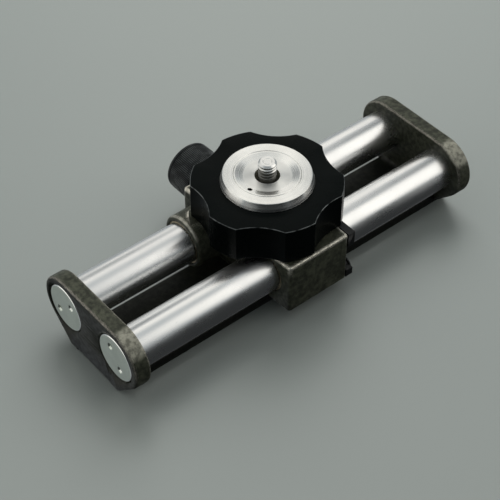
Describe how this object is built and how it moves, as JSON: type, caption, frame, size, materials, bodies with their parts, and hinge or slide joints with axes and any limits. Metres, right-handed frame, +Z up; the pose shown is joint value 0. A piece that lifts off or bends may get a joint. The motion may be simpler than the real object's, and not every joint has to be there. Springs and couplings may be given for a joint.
{
  "type": "macro focusing rail",
  "caption": "Macro focusing rail: a clamped carriage slides on chromed guide tubes between cast end plates and carries a lobed hand wheel under a camera platform.",
  "frame": {"origin": "The mouth of the tripod thread, in the middle of the bar's flat underside.", "axes": "X runs along the guide tubes to the end that is far in the picture, Y points to the clamp knob's side, and Z is up, along the camera screw."},
  "size_m": [0.149, 0.0711, 0.0491],
  "materials": {
    "frame_paint": "textured",
    "carriage_paint": "textured",
    "black_paint": "satin",
    "tube_chrome": "polished",
    "plug_steel": "brushed",
    "machined_steel": "satin",
    "bearing_bronze": "satin",
    "pad_brass": "satin",
    "platform_aluminium": "satin",
    "screw_steel": "satin",
    "wheel_black": "satin",
    "knob_black": "satin"
  },
  "bodies": {
    "frame": {"rail_frame": "frame_paint", "front_tube": "tube_chrome", "rear_tube": "tube_chrome", "left_front_plug": "plug_steel", "left_rear_plug": "plug_steel", "right_front_plug": "plug_steel", "right_rear_plug": "plug_steel", "tripod_bush": "machined_steel"},
    "carriage": {"carriage_block": "carriage_paint", "front_bearing": "bearing_bronze", "rear_bearing_left": "bearing_bronze", "rear_bearing_right": "bearing_bronze", "end_cover": "black_paint", "end_cover_screws": "screw_steel", "platform_post": "machined_steel", "post_dowels": "machined_steel", "stop_ring": "machined_steel", "guide_pin": "machined_steel", "camera_screw": "screw_steel"},
    "platform": {"camera_platform": "platform_aluminium", "platform_ring": "machined_steel"},
    "wheel": {"hand_wheel": "wheel_black"},
    "pad": {"clamp_pad": "pad_brass"},
    "knob": {"clamp_screw": "screw_steel", "clamp_knob": "knob_black"}
  },
  "joints": [
    {"name": "carriage_slide", "type": "slide", "parent": "frame", "child": "carriage", "axis": [1, 0, 0], "range_m": [-0.042, 0.042]},
    {"name": "platform_rise", "type": "slide", "parent": "carriage", "child": "platform", "axis": [0, 0, 1], "range_m": [0, 0.0021]},
    {"name": "wheel_turn", "type": "hinge", "parent": "platform", "child": "wheel", "pos_m": [0, 0, 0.0338], "axis": [0, 0, 1], "range_deg": [0, 504]},
    {"name": "pad_travel", "type": "slide", "parent": "carriage", "child": "pad", "axis": [0, 1, 0], "range_m": [0, 0.001]},
    {"name": "knob_turn", "type": "hinge", "parent": "pad", "child": "knob", "pos_m": [0, 0.035, 0.017], "axis": [0, 1, 0], "range_deg": [0, 360]}
  ],
  "couplings": [
    {"joint": "platform_rise", "follows": "wheel_turn", "m_per_rad": 0.00023873},
    {"joint": "knob_turn", "follows": "pad_travel", "rad_per_m": 6283.2}
  ]
}
